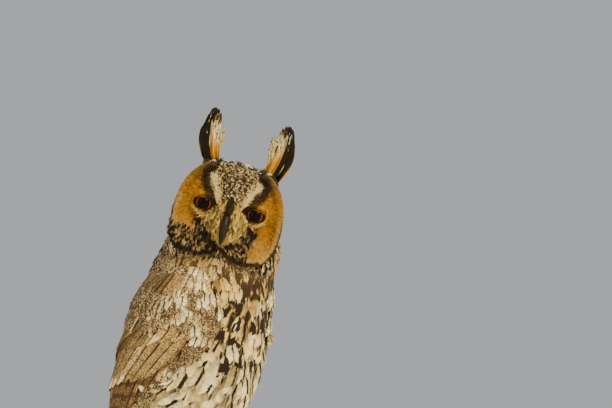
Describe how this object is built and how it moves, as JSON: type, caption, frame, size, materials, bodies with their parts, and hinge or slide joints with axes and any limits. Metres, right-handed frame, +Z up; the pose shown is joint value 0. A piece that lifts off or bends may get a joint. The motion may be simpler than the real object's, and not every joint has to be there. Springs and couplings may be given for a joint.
{
  "type": "long-eared owl",
  "caption": "Life-size still long-eared owl with raised ear tufts, perched upright on a cut branch held by a round display stand.",
  "frame": {"origin": "middle of the underside of the round stand base, on the floor", "axes": "+Z up; the body faces -Y, the owl's right side is towards -X, and its head is turned to its right"},
  "size_m": [0.23, 0.23, 0.4043],
  "materials": {
    "breast_plumage": "soft buff feathers with dark streaks and cross bars",
    "face_plumage": "fine hair-like orange-buff disc feathers",
    "tuft_feathers": "blackish feathers with pale and buff edges",
    "wing_feathers": "mottled and barred flight feathers and coverts",
    "tail_feathers": "barred tail feathers",
    "leg_feathers": "short dense buff feathering",
    "eye": "wet, clear cornea over an orange iris and a black pupil",
    "bill_horn": "satin blackish horn",
    "claw_horn": "satin black horn",
    "bark": "grey-brown bark with pale sawn ends",
    "stand_wood": "dark satin lacquered wood",
    "rod_steel": "brushed steel"
  },
  "bodies": {
    "root": {"bill_lower": "bill_horn", "bill_upper": "bill_horn", "claw_left_hind": "claw_horn", "claw_left_inner": "claw_horn", "claw_left_middle": "claw_horn", "claw_left_outer": "claw_horn", "claw_right_hind": "claw_horn", "claw_right_inner": "claw_horn", "claw_right_middle": "claw_horn", "claw_right_outer": "claw_horn", "ear_tuft_left": "tuft_feathers", "ear_tuft_right": "tuft_feathers", "eye_left": "eye", "eye_right": "eye", "foot_left": "leg_feathers", "foot_right": "leg_feathers", "head": "face_plumage", "leg_left": "leg_feathers", "leg_right": "leg_feathers", "neck": "breast_plumage", "perch_branch": "bark", "stand_base": "stand_wood", "stand_rod_left": "rod_steel", "stand_rod_right": "rod_steel", "tail": "tail_feathers", "torso": "breast_plumage", "wing_left": "wing_feathers", "wing_right": "wing_feathers"}
  },
  "joints": []
}
